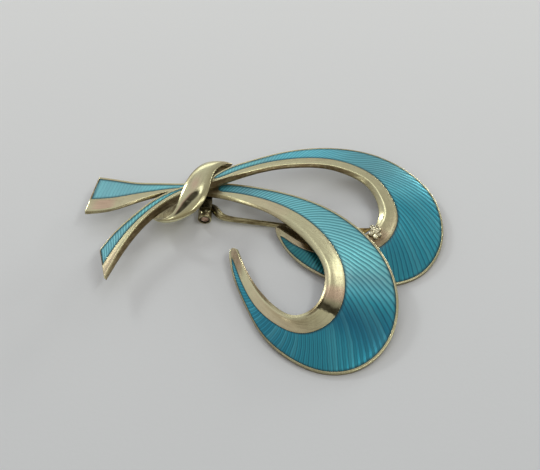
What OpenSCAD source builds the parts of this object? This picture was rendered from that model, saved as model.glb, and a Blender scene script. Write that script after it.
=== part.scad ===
// Ribbon-blade brooch: two enamelled leaf blades tied by a knot band, with a hinged pin behind.
// Millimetres. The brooch lies face up on the plane z = 0, tails toward -X, loops toward +X.

/* [Blades] */
// Thickness of the blade at its outer edge
edge_t = 0.6; // [0.4:0.05:1.0]
// Width of the outer rim of the lower blade
lower_rim = 0.38; // [0.2:0.02:0.6]
// Width of the outer rim of the upper blade
upper_rim = 0.28; // [0.2:0.02:0.6]
// Depth of the recess that holds the enamel
recess = 0.32; // [0.2:0.02:0.5]
// Height of the plain wall below the inner bevel
wall_h = 0.3; // [0.2:0.05:0.6]
// Width of the metal rim that closes a cut tail
tail_rim = 0.3; // [0.2:0.05:0.6]
// Cross sections in each stretch between two rows of a table
steps = 6; // [3:1:8]

/* [Enamel] */
// Gap between the enamel and the metal round it
enamel_gap = 0.03; // [0.01:0.01:0.05]
// Gap between the enamel and the floor of its recess
floor_gap = 0.06; // [0.02:0.01:0.1]
// How far the enamel's edge lies below the rims
enamel_sink = 0.03; // [0.0:0.01:0.1]
// Rise of the enamel's middle, as a share of its width
enamel_rise = 0.012; // [0:0.002:0.03]

/* [Knot] */
// Thickness of the band
band_t = 0.6; // [0.4:0.05:1.0]
// Half of the band's depth, front to back
band_ry = 6.5; // [5:0.05:8]
// Half of the band's height
band_rz = 2.35; // [2:0.05:3]

/* [Hinge] */
// Outer radius of the two fixed knuckles
knuckle_r = 1.15; // [0.8:0.05:1.5]
// Outer radius of the pin's own knuckle
middle_r = 1.12; // [0.8:0.01:1.5]
// Radius of the rivet
rivet_r = 0.75; // [0.4:0.05:1.0]
// Length of the front knuckle
front_len = 1.65; // [1:0.05:3]
// Length of the pin's own knuckle
middle_len = 1.75; // [1:0.05:3]
// Length of the back knuckle
back_len = 1.55; // [1:0.05:3]
// Gap between neighbouring knuckles
knuckle_gap = 0.05; // [0.02:0.01:0.2]
// Thickness of the hinge plate
plate_t = 0.37; // [0.3:0.01:0.8]

/* [Pin] */
// Radius of the pin wire
wire_r = 0.47; // [0.3:0.01:0.6]
// Length of the tapered point
point_len = 3.2; // [2:0.1:5]
// Radius of the blunted tip
tip_r = 0.08; // [0.05:0.01:0.2]

/* [Catch] */
// Thickness of the catch plate and of its prongs
catch_t = 0.4; // [0.3:0.05:0.6]
// Free room between the pin and each prong
catch_room = 0.12; // [0.05:0.01:0.3]

/* [Hidden] */
// One row for each station along a blade.
// Columns: outer edge x y z, crest x y z, border width, bevel reach, bevel drop.
lower_rows = [
    [-28.46, 14.53, 4.20, -30.14, 7.15, 4.20, 2.52, 0.30, 0.38],
    [-25.20, 14.16, 4.00, -26.00, 7.55, 4.20, 2.43, 0.30, 0.19],
    [-21.74, 13.63, 3.80, -22.03, 9.48, 4.00, 1.55, 0.30, 0.27],
    [-18.00, 13.75, 3.60, -18.23, 11.17, 3.80, 0.72, 0.30, 0.43],
    [-13.99, 13.75, 3.40, -14.05, 12.18, 3.60, 0.45, 0.30, 0.50],
    [-9.80, 13.97, 3.40, -10.41, 11.56, 3.60, 0.45, 0.35, 0.45],
    [-5.41, 13.62, 3.50, -6.56, 10.80, 3.80, 0.81, 0.40, 0.46],
    [-0.47, 12.62, 3.60, -2.92, 9.26, 4.00, 1.55, 0.40, 0.38],
    [5.15, 10.95, 3.60, 0.93, 7.32, 4.20, 2.05, 0.40, 0.31],
    [10.68, 8.24, 3.55, 4.82, 4.53, 4.30, 2.20, 0.81, 0.35],
    [15.74, 3.94, 3.45, 7.81, 0.54, 4.30, 2.62, 0.55, 0.35],
    [19.71, -1.89, 3.25, 9.78, -3.69, 4.20, 2.66, 0.34, 0.35],
    [21.31, -8.40, 2.50, 9.97, -7.42, 3.90, 2.86, 0.47, 0.35],
    [20.49, -14.43, 1.65, 8.99, -10.48, 3.50, 3.12, 0.48, 0.35],
    [17.60, -18.98, 1.00, 7.10, -12.42, 3.10, 3.24, 0.62, 0.35],
    [13.27, -21.50, 0.60, 4.67, -13.13, 2.80, 3.27, 0.73, 0.35],
    [8.48, -21.52, 0.60, 2.38, -12.09, 2.60, 3.63, 0.75, 0.35],
    [3.81, -19.28, 0.90, 0.30, -9.99, 2.40, 3.75, 0.75, 0.35],
    [-0.33, -15.42, 1.20, -1.39, -7.49, 2.30, 3.55, 0.61, 0.35],
    [-2.86, -10.28, 1.50, -2.92, -4.31, 2.20, 3.31, 0.42, 0.35],
    [-5.10, -4.68, 1.80, -4.04, -1.17, 2.20, 1.94, 0.30, 0.30],
    [-5.97, 0.47, 2.00, -4.68, 0.80, 2.20, 1.05, 0.29, 0.30],
];
upper_rows = [
    [-26.77, -1.11, 4.40, -25.55, -6.42, 4.00, 2.27, 0.12, 0.10],
    [-24.72, 2.36, 4.60, -23.67, -1.09, 4.20, 1.30, 0.60, 0.50],
    [-21.86, 5.73, 4.80, -20.83, 4.21, 4.50, 0.62, 0.65, 0.76],
    [-18.30, 9.28, 5.00, -17.25, 8.11, 4.90, 0.45, 0.60, 1.07],
    [-14.18, 11.54, 5.10, -13.63, 10.57, 5.00, 0.51, 0.55, 1.16],
    [-10.10, 13.10, 5.15, -10.02, 12.20, 5.10, 0.25, 0.50, 0.94],
    [-6.43, 15.83, 5.20, -6.05, 13.82, 5.10, 0.57, 0.50, 0.66],
    [-2.50, 17.59, 5.00, -2.21, 15.17, 5.20, 0.99, 0.50, 0.43],
    [2.67, 19.88, 4.50, 2.22, 16.50, 5.00, 1.27, 0.50, 0.33],
    [8.30, 21.42, 3.90, 6.80, 17.17, 4.70, 1.56, 0.50, 0.35],
    [14.18, 21.78, 3.30, 10.92, 17.20, 4.40, 1.71, 0.50, 0.43],
    [20.06, 20.59, 2.70, 14.76, 16.00, 4.10, 1.81, 0.56, 0.55],
    [25.24, 17.37, 2.10, 17.89, 14.08, 3.80, 1.67, 0.69, 0.60],
    [29.20, 12.15, 1.60, 19.59, 10.87, 3.50, 1.94, 0.67, 0.60],
    [30.15, 5.84, 1.20, 20.19, 7.76, 3.10, 2.29, 0.88, 0.60],
    [29.06, 0.95, 0.90, 19.19, 5.44, 2.80, 2.69, 0.65, 0.60],
    [25.99, -3.23, 0.60, 17.65, 3.83, 2.50, 2.94, 0.45, 0.55],
    [21.33, -5.29, 0.60, 15.16, 2.47, 2.30, 2.93, 0.50, 0.50],
    [15.86, -5.44, 0.80, 12.37, 1.67, 2.20, 2.50, 0.70, 0.45],
    [10.77, -4.51, 1.10, 9.47, 1.72, 2.20, 1.92, 0.99, 0.40],
    [6.67, -2.22, 1.40, 6.43, 2.01, 2.30, 1.25, 1.31, 0.35],
    [3.56, 0.86, 1.80, 3.87, 3.68, 2.40, 1.08, 1.41, 0.30],
    [1.63, 4.72, 2.20, 1.79, 5.18, 2.50, 0.45, 1.09, 0.25],
];
// One row for every 30 degrees round the knot band, from the back over the top.
// Columns: left edge x, right edge x.
band_rows = [
    [-9.6, -5.5],
    [-10.7, -7.0],
    [-12.2, -8.6],
    [-13.5, -9.2],
    [-14.3, -9.9],
    [-15.1, -11.6],
    [-17.0, -14.0],
    [-18.7, -15.2],
    [-18.6, -14.3],
    [-17.0, -12.7],
    [-14.0, -10.6],
    [-11.2, -7.3],
];
// One row for each point of the band's cross section.
// Columns: place across the band (0 left, 1 right), height of the surface there.
band_section = [
    [0.00, -0.30],
    [0.06, -0.12],
    [0.18, -0.02],
    [0.40, 0.03],
    [0.60, 0.03],
    [0.82, -0.02],
    [0.94, -0.12],
    [1.00, -0.30],
    [0.97, -0.50],
    [0.80, -band_t],
    [0.20, -band_t],
    [0.03, -0.50],
];
// The middle of the knot band.
band_cy = 11.55;
band_cz = 3.95;
band_sections = 72;

// The hinge's axis runs front to back.
hinge_x = -10.2;
hinge_z = knuckle_r;
front_y = 7.55;
middle_y = front_y + front_len + knuckle_gap;
back_y = middle_y + middle_len + knuckle_gap;
end_y = back_y + back_len;
fixed_bore_r = rivet_r + 0.02;
moving_bore_r = rivet_r + 0.05;
plate_gap = 0.05;
plate_z = hinge_z + knuckle_r + plate_gap;
plate_left = 1.2;
plate_right = 1.35;
plate_inset = 1.05;
plate_y = front_y + plate_inset;
rivet_inset = 0.05;
web_w = 1.8;
web_rise = 0.75;
web_z = hinge_z + web_rise;
// How far joined solids reach into each other.
overlap = 0.1;

// The centre line of the pin's bent root, from its knuckle to where the stem runs straight.
// Columns: x, y, z, radius.
root_rows = [
    [-9.28, 10.28, 1.12, 0.62],
    [-8.75, 10.08, 1.10, 0.68],
    [-8.25, 9.42, 1.08, 0.70],
    [-7.65, 8.68, 1.02, 0.65],
    [-6.80, 8.20, 0.95, 0.56],
    [-5.50, 7.87, 0.90, 0.49],
    [-3.50, 7.54, 0.90, wire_r],
];
pin_end = [17.3, 4.13, 0.90];

// The catch.
prong_x = 14.2;
prong_len = 1.2;
prong_z = 0.4;
catch_gap = 0.22;
pin_slope = (pin_end[1] - root_rows[6][1]) / (pin_end[0] - root_rows[6][0]);
catch_pin_y = pin_end[1] + pin_slope * (prong_x + prong_len / 2 - pin_end[0]);
prong_off = wire_r + catch_room + abs(pin_slope) * prong_len / 2;
catch_plate_z = pin_end[2] + wire_r + catch_gap;
// Corners of the catch plate, seen from above. Columns: x, y.
catch_rows = [
    [14.10, 5.55],
    [15.50, 5.55],
    [15.80, 5.20],
    [17.95, 5.20],
    [17.05, 4.40],
    [15.00, 3.10],
    [14.10, 3.10],
];

// Number of facets round the knuckles and the wire, and of rings between two rows of its root.
round_fn = 64;
wire_fn = 12;
wire_steps = 4;

// Half the stretch of a curve over which its direction is measured.
near = 0.05;

// A table's rows are sharpened so that the smooth curve through them keeps close to each row.
function first_row(t) = 2 * t[0] - t[1];
function last_row(t) = 2 * t[len(t) - 1] - t[len(t) - 2];
function with_ends(t) = concat([first_row(t)], t, [last_row(t)]);
function sharpened(t) =
    let (e = with_ends(t))
    with_ends([for (i = [1 : len(t)]) e[i] - (e[i - 1] - 2 * e[i] + e[i + 1]) / 6]);

// A smooth cubic curve through four neighbouring control rows.
function blend(a, b, c, d, u) =
    (pow(1 - u, 3) * a + (3 * pow(u, 3) - 6 * pow(u, 2) + 4) * b
    + (-3 * pow(u, 3) + 3 * pow(u, 2) + 3 * u + 1) * c + pow(u, 3) * d) / 6;
function row_at(c, s) =
    let (k = min(floor(s), len(c) - 4), u = s - k)
    blend(c[k], c[k + 1], c[k + 2], c[k + 3], u);

function xy(v) = [v[0], v[1]];
function xyz(v) = [v[0], v[1], v[2]];
function unit(v) = v / norm(v);

// One station of a blade, as named places across it.
function outer(r) = [r[0], r[1], r[2]];
function crest(r) = [r[3], r[4], r[5]];
function across(r) = (crest(r) - outer(r)) / norm(xy(crest(r) - outer(r)));
function border(r) = crest(r) - r[6] * across(r);
rim_share = 0.45; // the most of a narrow blade that its rim takes up
function rim(r, w) = outer(r) + min(w, rim_share * norm(xy(border(r) - outer(r)))) * across(r);
function lowered(p, d) = [p[0], p[1], max(0, p[2] - d)];

// The direction square to the crest line, toward the inside of the curl.
function inward(c, s) =
    let (last = len(c) - 3, a = row_at(c, max(0, s - near)), b = row_at(c, min(last, s + near)),
        d = unit(xy(crest(b) - crest(a))))
    [d[1], -d[0], 0];

// The blade's cross section at one station: rim, recess, border, bevel, wall and underside.
function blade_section(c, s, w, depth) =
    let (r = row_at(c, s), n = inward(c, s), foot = crest(r) + r[7] * n - [0, 0, r[8]])
    [
        outer(r),
        rim(r, w),
        lowered(rim(r, w), depth),
        lowered(border(r), depth),
        border(r),
        crest(r),
        foot,
        lowered(foot, wall_h),
        lowered(outer(r), edge_t),
    ];

// The share of a stretch between two rows that the enamel keeps from each end of its recess.
end_gap = 0.02;

// The enamel's cross section: it fills the recess and rises a little in the middle.
function enamel_section(c, s, w) =
    let (r = row_at(c, s), a = rim(r, w) + enamel_gap * across(r), b = border(r) - enamel_gap * across(r),
        rise = enamel_rise * norm(b - a), deep = recess - floor_gap)
    [
        a - [0, 0, deep],
        a - [0, 0, enamel_sink],
        a + 0.25 * (b - a) + [0, 0, 0.75 * rise - enamel_sink],
        a + 0.50 * (b - a) + [0, 0, rise - enamel_sink],
        a + 0.75 * (b - a) + [0, 0, 0.75 * rise - enamel_sink],
        b - [0, 0, enamel_sink],
        b - [0, 0, deep],
    ];

// A rounded tip: the section shrinks about its middle over the last stretch.
function middle_of(sec) = (sec[0] + sec[len(sec) - 1] + sec[4] + sec[6]) / 4;
function shrunk(sec, f) = let (m = middle_of(sec)) [for (p = sec) m + f * (p - m)];
tip_run = 0.12;
function tip_share(s, last) = s < last - tip_run ? 1 : max(0.35, sqrt(1 - pow((s - last + tip_run) / tip_run, 2)));

// A closed skin over a list of equal cross sections.
module skin(sections) {
    n = len(sections[0]);
    m = len(sections);
    points = [for (sec = sections) each sec];
    sides = [for (i = [0 : m - 2], j = [0 : n - 1])
        let (a = i * n + j, b = i * n + (j + 1) % n) each [[b, a, a + n], [b, a + n, b + n]]];
    caps = [
        [for (j = [0 : n - 1]) j],
        [for (j = [n - 1 : -1 : 0]) (m - 1) * n + j],
    ];
    polyhedron(points, concat(sides, caps), convexity = 8);
}

// Stations along a blade: a rim at the cut tail, then even steps, then the rounded tip.
function even_steps(a, b) = [for (i = [ceil(a * steps) : floor(b * steps)]) i / steps];
function tail_share(c) = tail_rim / norm(xy(crest(row_at(c, 1)) - crest(row_at(c, 0))));
function blade_stations(c, stop) =
    let (last = len(c) - 3, e = tail_share(c))
    concat([0, e, e + 0.003], even_steps(e + 0.05, stop - 0.02), [stop, stop + 0.02],
        even_steps(stop + 0.06, last - tip_run - 0.02),
        [for (f = [1, 0.7, 0.4, 0.15, 0]) last - f * tip_run]);
function depth_at(c, s, stop) = s > tail_share(c) + 0.001 && s < stop + 0.001 ? recess : 0;

module blade(rows, w, stop) {
    c = sharpened(rows);
    last = len(rows) - 1;
    skin([for (s = blade_stations(c, stop))
        shrunk(blade_section(c, s, w, depth_at(c, s, stop)), tip_share(s, last))]);
}

module enamel(rows, w, stop) {
    c = sharpened(rows);
    start = tail_share(c) + end_gap;
    skin([for (s = concat([start], even_steps(start + 0.05, stop - 0.05), [stop - end_gap]))
        enamel_section(c, s, w)]);
}

// Where the enamel stops short of each tip, counted in rows of its table.
lower_stop = 20.6;
upper_stop = 21.5;

// The lump of solder on the upper blade, beside the edge that crosses over it.
// Columns: x, y, z, radius.
solder_rows = [
    [18.80, 3.75, 2.30, 0.55],
    [18.15, 3.35, 2.30, 0.60],
    [18.70, 2.90, 2.20, 0.55],
    [18.30, 4.15, 2.35, 0.45],
];

module upper_ribbon() {
    color("darkkhaki") union() {
        blade(upper_rows, upper_rim, upper_stop);
        for (r = solder_rows) translate(xyz(r)) sphere(r = r[3], $fn = 10);
    }
}

module lower_ribbon() {
    color("darkkhaki") blade(lower_rows, lower_rim, lower_stop);
}

module upper_enamel() {
    color("mediumturquoise") enamel(upper_rows, upper_rim, upper_stop);
}

module lower_enamel() {
    color("mediumturquoise") enamel(lower_rows, lower_rim, lower_stop);
}

// The knot band: a skewed ring whose two edges follow the table of the band.
function band_control(i) =
    let (n = len(band_rows), p = band_rows[(i + n - 1) % n], q = band_rows[(i + n) % n],
        r = band_rows[(i + n + 1) % n])
    q - (p - 2 * q + r) / 6;
function band_row(a) =
    let (s = a / 30, k = floor(s))
    blend(band_control(k - 1), band_control(k), band_control(k + 1), band_control(k + 2), s - k);
function band_ring(a) =
    let (e = band_row(a))
    [for (q = band_section)
        [e[0] + q[0] * (e[1] - e[0]), band_cy + (band_ry + q[1]) * cos(a), band_cz + (band_rz + q[1]) * sin(a)]];

module knot_band() {
    n = len(band_section);
    rings = [for (i = [0 : band_sections - 1]) band_ring(i * 360 / band_sections)];
    faces = [for (i = [0 : band_sections - 1], j = [0 : n - 1])
        let (i2 = (i + 1) % band_sections, j2 = (j + 1) % n, a = i * n + j, b = i * n + j2,
            c = i2 * n + j, d = i2 * n + j2)
        each [[a, b, c], [b, d, c]]];
    color("khaki") polyhedron([for (q = rings) each q], faces, convexity = 8);
}

// A round bar along +Y from y0, on the hinge's axis.
module axle_bar(r, y0, l) {
    translate([hinge_x, y0, hinge_z]) rotate([-90, 0, 0]) cylinder(h = l, r = r, $fn = round_fn);
}

module hinge() {
    color("tan") difference() {
        union() {
            axle_bar(knuckle_r, front_y, front_len);
            axle_bar(knuckle_r, back_y, back_len);
            translate([hinge_x - plate_left, plate_y, plate_z])
                cube([plate_left + plate_right, end_y - plate_y, plate_t]);
            translate([hinge_x - web_w / 2, plate_y, web_z])
                cube([web_w, front_y + front_len - plate_y, plate_z - web_z + overlap]);
            translate([hinge_x - web_w / 2, back_y, web_z]) cube([web_w, back_len, plate_z - web_z + overlap]);
        }
        axle_bar(fixed_bore_r, front_y - 1, end_y - front_y + 2);
    }
}

module hinge_rivet() {
    color("rosybrown") axle_bar(rivet_r, front_y + rivet_inset, end_y - front_y - 2 * rivet_inset);
}

// The pin's wire: round rings along its centre line, square to it, narrowing to the point.
function ring_at(p, d, r) =
    let (side = unit(cross([0, 0, 1], d)), up = cross(d, side))
    [for (k = [0 : wire_fn - 1]) p + r * (cos(k * 360 / wire_fn) * side + sin(k * 360 / wire_fn) * up)];
function wire_direction(c, s) =
    unit(xyz(row_at(c, min(s + near, len(c) - 3))) - xyz(row_at(c, max(s - near, 0))));

module wire() {
    c = sharpened(root_rows);
    last = len(root_rows) - 1;
    stem = unit(pin_end - xyz(root_rows[last]));
    skin(concat(
        [for (i = [0 : last * wire_steps]) let (s = i / wire_steps, r = row_at(c, s))
            ring_at(xyz(r), wire_direction(c, s), r[3])],
        [ring_at(pin_end - point_len * stem, stem, wire_r), ring_at(pin_end, stem, tip_r)]
    ));
}

module pin_stem() {
    color("peru") difference() {
        union() {
            axle_bar(middle_r, middle_y, middle_len);
            wire();
        }
        axle_bar(moving_bore_r, middle_y - 1, middle_len + 2);
    }
}

module catch() {
    color("goldenrod") union() {
        translate([0, 0, catch_plate_z]) linear_extrude(height = catch_t)
            polygon(catch_rows);
        for (side = [-1, 1])
            translate([prong_x, catch_pin_y + side * (prong_off + catch_t / 2) - catch_t / 2, prong_z])
                cube([prong_len, catch_t, catch_plate_z - prong_z + overlap]);
    }
}

upper_ribbon();
upper_enamel();
lower_ribbon();
lower_enamel();
knot_band();
hinge();
hinge_rivet();
pin_stem();
catch();
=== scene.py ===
# %% [markdown]
# # A leaf brooch in enamel and silver gilt
# Two long leaf-like ribbons of silver gilt are laid over each other and tied with a band.
# Each ribbon carries a field of clear turquoise enamel over engraved lines.
# Behind them a stiff pin turns on a rivet in a short tube and rests in a plain fork.
#
# The packed model gives the frame. This lesson rebuilds every part of it as a finer surface, gives
# each one its finish, and leaves all places and sizes where the model has them.

# %% The packed model
import math
import bpy
import numpy as np
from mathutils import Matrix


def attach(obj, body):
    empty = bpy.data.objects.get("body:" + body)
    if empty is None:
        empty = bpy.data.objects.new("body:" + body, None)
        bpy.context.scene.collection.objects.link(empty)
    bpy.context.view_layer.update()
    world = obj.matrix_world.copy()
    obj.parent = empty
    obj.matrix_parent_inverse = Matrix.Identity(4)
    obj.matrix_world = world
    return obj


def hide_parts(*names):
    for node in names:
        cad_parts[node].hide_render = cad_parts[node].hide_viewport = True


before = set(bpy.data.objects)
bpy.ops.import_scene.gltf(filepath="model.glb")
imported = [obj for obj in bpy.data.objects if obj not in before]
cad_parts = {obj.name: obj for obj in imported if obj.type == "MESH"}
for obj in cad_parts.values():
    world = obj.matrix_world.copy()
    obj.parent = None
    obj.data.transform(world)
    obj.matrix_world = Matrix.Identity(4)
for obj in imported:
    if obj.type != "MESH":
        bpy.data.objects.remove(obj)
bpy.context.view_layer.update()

# %% [markdown]
# ## The camera
# The brooch lies on a table and is seen from above at 53 degrees, square on to its long side, from
# about 17 cm away. A camera that isn't turned looks straight down, so it is tipped up by what 53
# degrees lack to 90. The lens is a long one for so small a thing, so that nothing bulges.

# %% Camera
MM = 0.001
LOOK_DOWN = 53.0
camera_data = bpy.data.cameras.new("camera")
camera_data.lens = 67.33
camera_data.sensor_width = 36.0
camera_data.clip_start = 0.005
camera_data.clip_end = 10.0
camera = bpy.data.objects.new("camera", camera_data)
camera.location = (0.9 * MM, -97.82 * MM, 136.72 * MM)
camera.rotation_euler = (math.radians(90.0 - LOOK_DOWN), 0.0, 0.0)
bpy.context.scene.collection.objects.link(camera)
bpy.context.scene.camera = camera
bpy.context.scene.view_settings.view_transform = "Standard"
print("camera height:", round(camera.location.z, 4), "m")

# %% [markdown]
# ## Smooth curves from short tables
# Each ribbon is drawn by a table with one row for each station along it. A cubic B-spline runs
# smoothly past its control rows without touching them, so the rows are sharpened first, and then
# the curve keeps close to what the table says. The whole row is blended at once: the positions of
# both edges, the width of the border and the fall of the bevel all change smoothly together.

# %% Spline through a table's rows
def sharpened(rows):
    """Control rows: each row moved away from the mean of its neighbours by a third of the gap, with
    one more row at each end in line with the last two."""
    rows = np.asarray(rows, float)
    ends = np.vstack([2 * rows[0] - rows[1], rows, 2 * rows[-1] - rows[-2]])
    inner = ends[1:-1] - (ends[:-2] - 2 * ends[1:-1] + ends[2:]) / 6
    return np.vstack([2 * inner[0] - inner[1], inner, 2 * inner[-1] - inner[-2]])


def weights(u):
    """The four cubics of a uniform B-spline, which add up to 6, at the part u of a step."""
    return (1 - u) ** 3, 3 * u**3 - 6 * u**2 + 4, -3 * u**3 + 3 * u**2 + 3 * u + 1, u**3


def rows_at(control, s):
    """The spline at parameter s, which is 0 at the first row of the table: the four nearest control
    rows, each times its cubic of the part of s past a whole number."""
    s = np.asarray(s, float)
    k = np.clip(np.floor(s).astype(int), 0, len(control) - 4)
    u = (s - k)[:, None]
    return sum(w * control[k + i] for i, w in enumerate(weights(u))) / 6


trial = rows_at(sharpened([[0], [1], [4], [9]]), [0, 1, 2, 3])
print("a table of 0, 1, 4 and 9 gives a curve through", np.round(trial[:, 0], 2))

# %% [markdown]
# ## From a grid of points to a mesh
# A sweep gives a ring of points at each station, so the points form a grid. Neighbouring points
# make four-sided faces. The two ends are closed with a fan to a middle point, or the last ring is
# joined to the first. The signed volume tells whether the faces look outward.

# %% Skin over rings
def skin_faces(m, n, closed):
    """Faces of a grid with m rings of n points: quads between neighbours, and fans to two end points
    that come after the grid when the sweep isn't closed."""
    i, j = np.meshgrid(np.arange(m if closed else m - 1), np.arange(n), indexing="ij")
    i2, j2 = (i + 1) % m, (j + 1) % n
    quads = np.stack([i * n + j, i * n + j2, i2 * n + j2, i2 * n + j], -1).reshape(-1, 4)
    if closed:
        return quads, np.zeros((0, 3), int)
    a, b = np.arange(n), (np.arange(n) + 1) % n
    first = np.stack([b, a, np.full(n, m * n)], -1)
    last = np.stack([(m - 1) * n + a, (m - 1) * n + b, np.full(n, m * n + 1)], -1)
    return quads, np.vstack([first, last])


def signed_volume(points, quads, tris):
    """Volume enclosed by the faces: a sixth of the sum of the triple products of each triangle's
    corners, positive when the faces look outward."""
    t = np.vstack([quads[:, [0, 1, 2]], quads[:, [0, 2, 3]], tris])
    p = points[t]
    return float(np.einsum("ij,ij->", p[:, 0], np.cross(p[:, 1], p[:, 2])) / 6)


def skin(rings, closed=False, uv=None, **facts):
    """One shell over rings[m, n, 3] in millimetres. uv[m, n, 2] and each fact[m, n] go with the
    points. An open sweep gets two more points, the means of its first and of its last ring."""
    m, n = rings.shape[:2]

    def per_point(a):
        """The values of a grid in one column, and the means of its end rings for the end points."""
        flat = a.reshape((m * n,) + a.shape[2:]).astype(float)
        return flat if closed else np.concatenate([flat, [flat[:n].mean(0)], [flat[-n:].mean(0)]])

    quads, tris = skin_faces(m, n, closed)
    points = per_point(rings)
    if signed_volume(points, quads, tris) < 0:
        quads, tris = quads[:, ::-1], tris[:, ::-1]
    facts = {name: per_point(np.broadcast_to(fact, (m, n))) for name, fact in facts.items()}
    return {"points": points, "quads": quads, "tris": tris, "facts": facts,
            "uv": None if uv is None else per_point(uv)}


ends = np.array([[0, 0, 0], [1, 0, 0], [1, 1, 0], [0, 1, 0]])
bar = skin(np.stack([ends, ends + [0, 0, 2]]))
held = signed_volume(bar["points"], bar["quads"], bar["tris"])
print("a bar of 1 by 1 by 2 mm has", len(bar["points"]), "points and holds", held, "cubic mm")

# %% [markdown]
# Blender keeps a number for each point of a mesh as an attribute, and materials can read it. So
# whatever the shape knows, such as where dirt and painted shade lie, is stored on the mesh as a fact.
# Places that follow the surface go into a UV map. Each object is then attached to the empty of the
# body that it moves with, and the parts of the model that it replaces are hidden.

# %% Mesh object from shells
UV_NAME = "engraving"


def make_piece(name, shells, material, body, replaced):
    """Joins the shells into one object at the origin, with its facts as attributes, attaches it to
    the empty of its body, and hides the parts of the model that it replaces."""
    points, faces, offset = [], [], 0
    for shell in shells:
        points.append(shell["points"])
        faces += (shell["quads"] + offset).tolist() + (shell["tris"] + offset).tolist()
        offset += len(shell["points"])
    points = np.vstack(points) * MM
    mesh = bpy.data.meshes.new(name)
    mesh.from_pydata(points.tolist(), [], faces)
    mesh.shade_smooth()
    for key in shells[0]["facts"]:
        values = np.concatenate([shell["facts"][key] for shell in shells])
        mesh.attributes.new(key, "FLOAT", "POINT").data.foreach_set("value", values)
    if shells[0]["uv"] is not None:
        corner = np.empty(len(mesh.loops), int)
        mesh.loops.foreach_get("vertex_index", corner)
        uv = np.concatenate([shell["uv"] for shell in shells])[corner]
        mesh.uv_layers.new(name=UV_NAME).data.foreach_set("uv", uv.ravel())
    mesh.materials.append(material)
    piece = bpy.data.objects.new(name, mesh)
    bpy.context.scene.collection.objects.link(piece)
    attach(piece, body)
    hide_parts(*replaced)
    size = (points.max(0) - points.min(0)) / MM
    print(name, "is", np.round(size, 2), "mm,", len(faces), "faces")
    return piece


# %% [markdown]
# ## Rounded edges
# Worked metal has no knife edges. A polishing wheel rounds the crest of a bevel more than it rounds
# a thin rim. Each corner of a cross section is replaced by a short curve between a point a little
# before it and a point a little after it, with the corner as the curve's handle. That is done for
# all the cross sections of a ribbon in one go.

# %% Rounded cross sections
def rounded(corners, trims, steps=5, most=0.45):
    """Closed cross sections corners[m, n, 3] with each corner j cut back by trims[j], never past the
    part called most of a side, and bridged by a quadratic curve of steps + 1 points whose handle is
    the corner."""
    before = np.roll(corners, 1, 1) - corners
    after = np.roll(corners, -1, 1) - corners
    out = []
    t = np.linspace(0, 1, steps + 1)[None, :, None]
    for j in range(corners.shape[1]):
        c = corners[:, j : j + 1]
        arms = []
        for side in (before, after):
            d = side[:, j : j + 1]
            length = np.maximum(np.linalg.norm(d, axis=2, keepdims=True), 1e-9)
            arms.append(c + d / length * np.minimum(trims[j], most * length))
        out.append((1 - t) ** 2 * arms[0] + 2 * t * (1 - t) * c + t**2 * arms[1])
    return np.concatenate(out, 1)


def inset(rings, amount):
    """Each ring drawn in by amount, square to its own outline and within its own plane."""
    along = np.roll(rings, -1, 1) - np.roll(rings, 1, 1)
    spread = rings - rings.mean(1, keepdims=True)
    plane = np.cross(spread, np.roll(spread, -1, 1)).sum(1, keepdims=True)
    side = np.cross(plane, along)
    side /= np.maximum(np.linalg.norm(side, axis=2, keepdims=True), 1e-12)
    return rings + amount * side


square = np.array([[[0, 0, 0], [1, 0, 0], [1, 1, 0], [0, 1, 0]]], float)
print("a square with rounded corners has", rounded(square, [0.1] * 4).shape[1], "points")

# %% [markdown]
# ## The two ribbons
# Each ribbon is one leaf blade of sheet silver, cut, domed and bent into a curl. From the outer edge
# inward it has a thin rim, a sunk field for the enamel, a polished border, a crest, and a bevel that
# falls to the inner wall. The columns of the tables are the outer edge x y z, the crest x y z, the
# border's width, and the bevel's reach and drop, in millimetres.

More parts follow.
